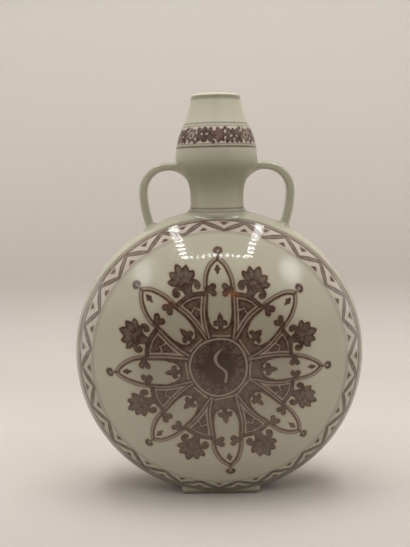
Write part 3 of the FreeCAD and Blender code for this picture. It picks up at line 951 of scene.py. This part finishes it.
def brush_work(tree, place, glaze):
    """Colour of the glaze with the painting under it, copper pigment brushed on the raw clay: dark brown,
    mottled, soft at its edges, red in patches, weaker low down and greyer in the border. It has clouded
    and stained the glaze among the petals and round the medallion, with a pink bloom along each stroke."""
    at = read_surface(tree, place, brush_patterns, brush_fields)
    petal, medallion, ring = at["petal"], at["medallion"], at["ring"]
    place_z = node(tree, "ShaderNodeSeparateXYZ", {0: place}).outputs["Z"]
    height = node(tree, "ShaderNodeMath", {0: place_z, 1: mm}, operation="DIVIDE").outputs[0]
    at["height"] = height
    hand = node(tree, "ShaderNodeMath", {0: at["hand"], 1: 0.5, 2: -0.4}, operation="MULTIPLY_ADD")
    sway = node(tree, "ShaderNodeMath", {0: at["bristle"], 1: 0.3, 2: hand.outputs[0]},
                operation="MULTIPLY_ADD")

    def brushed(field, bends, *curves):
        """Share that the brush covered along a field, whose edges sway as hand and bristles do."""
        swayed = node(tree, "ShaderNodeMath", {0: at[field], 1: sway.outputs[0]}, operation="ADD")
        return share_along(tree, (swayed.outputs[0], bends), *curves)

    # Ink: all marks together, thinner where the brush ran dry, full on the disc, faint where left pale
    marks = [brushed(field, bends) for field, bends in brush_marks]
    # A brown band from the border's outer ring out to the seam, fading with height: partly the border's
    # outer band, partly painted shade on the lower rim
    marks.append(brushed("ring", [(103, 0), (103.9, 0.7), (112, 0.6)],
                         (height, [(0, 1), (50, 0.8), (110, 0), (300, 0)])))
    cover = node(tree, "ShaderNodeMath", {0: at["cover"], 1: 0.6, 2: 0.68}, operation="MULTIPLY_ADD")
    disc = share_along(tree, (medallion, [(10, 0.95), (17, 0.88), (19, 0), (30, 0)]))
    mottle = share_along(tree, (medallion, [(10, 0), (14, 0.28), (18.6, 0.28), (19.2, 0)]),
                         (at["speckle"], [(0.42, 0), (0.66, 1)]))
    unbrushed = brushed("pale", [(-2, 0.9), (-0.2, 0.85), (0.4, 0), (2, 0)])
    pale = node(tree, "ShaderNodeMix", {0: 1.0, 6: unbrushed, 7: mottle}, data_type="RGBA",
                blend_type="LIGHTEN").outputs[2]
    faint = (0.1, 0.1, 0.1, 1)
    ink = coated(tree, marks[0], [(1.0, mark, "LIGHTEN") for mark in marks[1:]] + [
        (1.0, cover.outputs[0], "MULTIPLY"), (1.0, disc, "LIGHTEN"), (pale, faint, "MIX")])

    # Glaze over and round the ink
    from_line = node(tree, "ShaderNodeMath", {0: petal}, operation="ABSOLUTE")
    from_motif = node(tree, "ShaderNodeMath", {0: at["dark"], 1: at["middle"]}, operation="MINIMUM")
    from_ink = node(tree, "ShaderNodeMath", {0: from_line.outputs[0], 1: from_motif.outputs[0]},
                    operation="MINIMUM")
    haze = share_along(tree, (medallion, [(0, 0.9), (52, 0.9), (70, 0), (90, 0)]),
                       (height, [(62, 0.5), (112, 1), (300, 1)]))
    valley = share_along(tree, (petal, [(-1, 0), (0.5, 0.75), (60, 0.75)]),
                         (medallion, [(0, 1), (46, 1), (56, 0), (90, 0)]))
    bloom = share_along(tree, (from_ink.outputs[0], [(0, 1), (1, 0.8), (2.4, 0)]))
    wash = share_along(tree, (petal, [(-0.5, 0), (0.4, 0.8), (2.2, 0.8), (3.4, 0)]),
                       (medallion, [(40, 0), (56, 1), (90, 1)]))
    border_ground = share_along(tree, (ring, [(92, 0), (94.6, 0.75), (103.8, 0.75), (107, 0)]),
                                (height, [(60, 0.2), (130, 0.3), (190, 1), (300, 1)]))
    scroll_ground = share_along(tree, (height, [(262, 0), (264, 0.75), (276, 0.75), (278, 0)]))
    glaze = coated(tree, glaze, [
        (haze, linear("#97917D"), "MIX"), (valley, linear("#97877A"), "MIX"),
        (bloom, linear("#FFF4F0"), "MULTIPLY"), (wash, linear("#DCCAC2"), "MULTIPLY"),
        (border_ground, linear("#C0B4A6"), "MIX"), (scroll_ground, linear("#C0B4A6"), "MIX")])

    # Pigment: brown, changing with its hue, inside broad fills, and on disc, lower face, border and lip
    shrunk = node(tree, "ShaderNodeMath", {0: at["middle"], 1: 0.9}, operation="ADD")
    inside = node(tree, "ShaderNodeMath", {0: at["dark"], 1: shrunk.outputs[0]}, operation="MINIMUM")
    fill = share_along(tree, (inside.outputs[0], [(-4, 0.8), (-2.2, 0.45), (-1.1, 0), (2, 0)]))
    on_disc = share_along(tree, (medallion, [(17, 0.85), (22, 0), (30, 0)]))
    low_down = share_along(tree, (height, [(62, 1), (112, 0), (200, 0)]))
    high_up = share_along(tree, (height, [(60, 0), (170, 1), (300, 1)]))
    on_border = share_along(tree, (ring, [(60, 0), (92, 0.85), (120, 0.85)]))
    on_lip = share_along(tree, (height, [(284, 0), (292, 1), (302, 1)]))
    border_pigment = node(tree, "ShaderNodeMix", {0: high_up, 6: linear("#45402F"), 7: linear("#624B42")},
                          data_type="RGBA").outputs[2]
    pigment = coated(tree, linear("#38231A"), [
        (at["hue"], linear("#4A3328"), "MIX"), (fill, linear("#66483C"), "MIX"),
        (on_disc, linear("#2F160A"), "MIX"), (low_down, linear("#594739"), "MIX"),
        (on_border, border_pigment, "MIX"), (on_lip, linear("#5B5848"), "MIX"),
        (at["red"], linear("#42120E"), "MIX"), (at["flare"], linear("#8A5A34"), "MIX")])
    return node(tree, "ShaderNodeMix", {0: ink, 6: glaze, 7: pigment}, data_type="RGBA").outputs[2]


def glaze_material(name, painted, dulling):
    """Porcelain glaze, a grey-green glass fired over the clay: glossy, faintly wavy, a little uneven in
    tone, paler where its coat is thinner on edges and darker and greener where it pools, a darkening that
    also serves as painted shade under the bulb and on the foot, with or without painting under it.
    dulling is the roughness added where handling wore it, and bare marks clay ground free of it."""
    material = bpy.data.materials.new(name)
    material.use_nodes = True
    tree = material.node_tree
    tree.nodes.clear()
    place = node(tree, "ShaderNodeTexCoord").outputs["Object"]
    at = read_surface(tree, place, glaze_patterns, glaze_fields)
    # Thick coat: greener and darker where glaze pools, and painted shade under the bulb and on the foot
    thick_coat_and_shade = node(tree, "ShaderNodeMath", {0: at["thin"], 1: -0.7}, operation="MULTIPLY").outputs[0]
    colour = coated(tree, linear("#C2BDA9"), [
        (at["tone"], linear("#B3AE9A"), "MIX"), (at["thin"], linear("#D9D4C2"), "MIX"),
        (thick_coat_and_shade, linear("#96957B"), "MIX")])
    if painted:
        colour = brush_work(tree, place, colour)
    clay = node(tree, "ShaderNodeMix", {0: at["grit"], 6: linear("#5C4C38"), 7: linear("#7A6850")},
                data_type="RGBA").outputs[2]
    colour = node(tree, "ShaderNodeMix", {0: at["bare"], 6: colour, 7: clay}, data_type="RGBA").outputs[2]
    relief = node(tree, "ShaderNodeMath", {0: at["pinhole"], 1: 0.05, 2: at["ripple"]},
                  operation="MULTIPLY_ADD")
    bump = node(tree, "ShaderNodeBump", {"Height": relief.outputs[0], "Strength": 0.05, "Distance": mm})
    worn = node(tree, "ShaderNodeMath", {0: at["wear"], 1: 0.05, 2: 0.025 + dulling},
                operation="MULTIPLY_ADD")
    rough = node(tree, "ShaderNodeMath", {0: at["bare"], 1: 0.7, 2: worn.outputs[0]},
                 operation="MULTIPLY_ADD")
    inputs = {"Base Color": colour, "Roughness": rough.outputs[0], "IOR": 1.5, "Normal": bump.outputs[0],
              "Specular IOR Level": 0.5 - 0.9 * dulling}
    shader = node(tree, "ShaderNodeBsdfPrincipled", inputs)
    node(tree, "ShaderNodeOutputMaterial", {"Surface": shader.outputs[0]})
    return material


painted_glaze = glaze_material("painted_porcelain_glaze", True, 0)
worn_painted_glaze = glaze_material("worn_painted_porcelain_glaze", True, 0.32)
plain_glaze = glaze_material("plain_porcelain_glaze", False, 0.04)

# Pieces, each with the node that it stands for, its slot and its finish
pieces = [
    (shell_half("front_shell_glazed", 1), "front_shell", "glazed_porcelain", painted_glaze),
    (shell_half("rear_shell_glazed", -1), "rear_shell", "glazed_porcelain", painted_glaze),
    (seam_arc_piece("seam_slip_right_glazed", 1), "seam_slip", "luting_slip", plain_glaze),
    (seam_arc_piece("seam_slip_left_glazed", -1), "seam_slip", "luting_slip", plain_glaze),
    (neck_tube("neck_glazed"), "neck", "glazed_porcelain", worn_painted_glaze),
    (neck_coil("neck_slip_glazed"), "neck_slip", "luting_slip", painted_glaze),
    (mouth_bulb_piece("mouth_bulb_glazed"), "mouth_bulb", "glazed_porcelain", worn_painted_glaze),
    (joint_ring("bulb_slip_glazed"), "bulb_slip", "luting_slip", worn_painted_glaze),
    (foot_ring_piece("foot_ring_glazed"), "foot_ring", "biscuit_porcelain", plain_glaze),
]
for side, word in ((1, "right"), (-1, "left")):
    for piece, stands_for in handle_pieces(side, word):
        slot = "luting_slip" if stands_for.endswith("slip") else "glazed_porcelain"
        pieces.append((piece, stands_for, slot, plain_glaze))
for piece, stands_for, slot, finish in pieces:
    piece.data.materials.append(finish)
    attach(piece, "root")
    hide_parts(stands_for)
for name in ("base_slab", "base_slip", "foot_slip"):
    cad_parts[name].data.materials.clear()
    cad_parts[name].data.materials.append(plain_glaze)

# Stage: a floor that sweeps up into a backdrop, in metres
floor_front, floor_back, sweep_round, backdrop_top, stage_half = -2.2, 0.36, 0.1, 2.4, 2.6
sweep = arc_points((floor_back, sweep_round), sweep_round, -np.pi / 2, 0, 24)
stage_path = np.concatenate([[[floor_front, 0]], sweep, [[floor_back + sweep_round, backdrop_top]]])
left_edge = np.insert(stage_path, 0, -stage_half, 1)
right_edge = np.insert(stage_path, 0, stage_half, 1)
left = np.arange(len(stage_path) - 1)
right = left + len(stage_path)
stage_faces = np.stack([left, right, right + 1, left + 1], -1)
stage_mesh = bpy.data.meshes.new("sweep")
stage_mesh.from_pydata(np.concatenate([left_edge, right_edge]).tolist(), [], stage_faces.tolist())
stage_mesh.polygons.foreach_set("use_smooth", np.ones(len(stage_faces), bool))
stage = bpy.data.objects.new("sweep", stage_mesh)
bpy.context.scene.collection.objects.link(stage)


def backdrop_paper(name):
    """Matt paper with a fine tooth, its colour greyer at the front of the floor as painted shade and paler
    up the backdrop as painted light. It is clear from behind, so that it doesn't hide the flask's back."""
    material = bpy.data.materials.new(name)
    material.use_nodes = True
    tree = material.node_tree
    place = node(tree, "ShaderNodeTexCoord").outputs["Object"]
    axes = node(tree, "ShaderNodeSeparateXYZ", {0: place}).outputs
    # Painted shade towards the front of the floor, and painted light up the backdrop
    back = node(tree, "ShaderNodeMapRange", {"Value": axes["Y"], "From Min": -0.12, "From Max": 0.15,
                                             "To Min": 0.0, "To Max": 0.35}).outputs[0]
    share = node(tree, "ShaderNodeMapRange", {"Value": axes["Z"], "From Min": 0.12, "From Max": 0.45,
                                              "To Min": back, "To Max": 1.0}).outputs[0]
    colour = node(tree, "ShaderNodeMix", {0: share, 6: linear("#BCB5AF"), 7: linear("#F3ECE4")},
                  data_type="RGBA").outputs[2]
    tooth = node(tree, "ShaderNodeTexNoise", {"Vector": place, "Scale": per_metre(1.5), "Detail": 3})
    bump = node(tree, "ShaderNodeBump", {"Height": tooth.outputs["Fac"], "Strength": 0.1,
                                         "Distance": 0.2 * mm})
    shader = tree.nodes["Principled BSDF"]
    shader.inputs["Roughness"].default_value = 0.9
    tree.links.new(colour, shader.inputs["Base Color"])
    tree.links.new(bump.outputs[0], shader.inputs["Normal"])
    behind = node(tree, "ShaderNodeNewGeometry").outputs["Backfacing"]
    clear = node(tree, "ShaderNodeBsdfTransparent").outputs[0]
    one_sided = node(tree, "ShaderNodeMixShader", {0: behind, 1: shader.outputs[0], 2: clear}).outputs[0]
    tree.links.new(one_sided, tree.nodes["Material Output"].inputs["Surface"])
    return material


stage_mesh.materials.append(backdrop_paper("matt_backdrop_paper"))

# Light: a pale room, brighter overhead and dimmer in front, and the walls and lamps of a light box
world = bpy.data.worlds.new("studio")
world.use_nodes = True
room = world.node_tree
heading = node(room, "ShaderNodeTexCoord").outputs["Generated"]
toward = node(room, "ShaderNodeSeparateXYZ", {0: heading}).outputs
upper = node(room, "ShaderNodeMapRange", {"Value": toward["Z"], "From Min": -0.1, "From Max": 0.9,
                                          "To Min": 0.07, "To Max": 0.7})
rear = node(room, "ShaderNodeMapRange", {"Value": toward["Y"], "From Min": -1.0, "From Max": 0.2,
                                         "To Min": 0.3, "To Max": 1.0})
level = node(room, "ShaderNodeMath", {0: upper.outputs[0], 1: rear.outputs[0]}, operation="MULTIPLY")
room.nodes["Background"].inputs["Color"].default_value = linear("#FFFBF4")
room.links.new(level.outputs[0], room.nodes["Background"].inputs["Strength"])
bpy.context.scene.world = world


def lamp(name, place, toward, size_x, size_y, radiance, mirrored=True):
    """Oblong light at a place, facing a point. Its power gives the wanted radiance, and it shows in the
    glaze only where mirrored."""
    data = bpy.data.lights.new(name, "AREA")
    data.shape = "RECTANGLE"
    data.size, data.size_y = size_x, size_y
    data.energy = radiance * math.pi * size_x * size_y
    fitted = bpy.data.objects.new(name, data)
    fitted.location = place
    facing = Vector(toward) - Vector(place)
    fitted.rotation_euler = facing.to_track_quat("-Z", "Y").to_euler()
    fitted.visible_glossy = mirrored
    bpy.context.scene.collection.objects.link(fitted)
    return data


def shade_lamp(data, dashes, along):
    """Makes a light a row of that many dashes along its X or Y side, or with none, a soft oval."""
    data.use_nodes = True
    tree = data.node_tree
    across = node(tree, "ShaderNodeNewGeometry").outputs["Parametric"]
    if dashes:
        lit_share = 0.42
        part = node(tree, "ShaderNodeSeparateXYZ", {0: across}).outputs[along]
        turn = node(tree, "ShaderNodeMath", {0: part, 1: dashes}, operation="MULTIPLY").outputs[0]
        step = node(tree, "ShaderNodeMath", {0: turn}, operation="FRACT").outputs[0]
        level = node(tree, "ShaderNodeMath", {0: step, 1: lit_share}, operation="LESS_THAN")
    else:
        away = node(tree, "ShaderNodeVectorMath", {0: across, 1: (0.5, 0.5, 0)}, operation="DISTANCE")
        fall_off = {"Value": away.outputs["Value"], "From Min": 0.1, "From Max": 0.5,
                    "To Min": 1.0, "To Max": 0.0}
        level = node(tree, "ShaderNodeMapRange", fall_off, interpolation_type="SMOOTHSTEP")
    tree.links.new(level.outputs[0], tree.nodes["Emission"].inputs["Strength"])


lamp("overhead", (0, 0.16, 1.6), (0, 0.16, 0), size_x=1.2, size_y=0.8, radiance=4.3, mirrored=False)
led_height, led_half_width, led_front, led_back = 0.6, 0.192, -0.5, 0.14
led_middle = (led_front + led_back) / 2
for side in (-1, 1):
    lamp("side_wall", (side * 0.62, 0.02, 0.2), (0, 0.02, 0.17), size_x=0.6, size_y=0.38, radiance=1.0)
    place = (side * led_half_width, led_middle, led_height)
    strip = lamp("led_strip", place, (place[0], led_middle, 0),
                 size_x=0.045, size_y=led_back - led_front, radiance=23)
    shade_lamp(strip, dashes=18, along="Y")
    oval = lamp("soft_side", (side * 0.7, -0.735, 0.72), (0, 0, 0.15),
                size_x=0.36, size_y=0.4, radiance=4.6 + 0.8 * side)
    shade_lamp(oval, dashes=0, along="X")
end_strip = lamp("led_end", (0, led_front, led_height), (0, led_front, 0),
                 size_x=2 * led_half_width, size_y=0.03, radiance=14)
shade_lamp(end_strip, dashes=11, along="X")

# Camera at the photograph's height, tilted down and rolled a little as there
camera_tilt, camera_roll = 0.1204, 0.0159
camera_data = bpy.data.cameras.new("camera")
camera_data.lens = 52.65
camera_data.sensor_width = 36
camera = bpy.data.objects.new("camera", camera_data)
camera.location = (-0.0087, -0.60475, 0.2402)
camera.rotation_euler = (math.pi / 2 - camera_tilt, camera_roll, 0)
bpy.context.scene.collection.objects.link(camera)
bpy.context.scene.camera = camera
bpy.context.scene.view_settings.view_transform = "Standard"
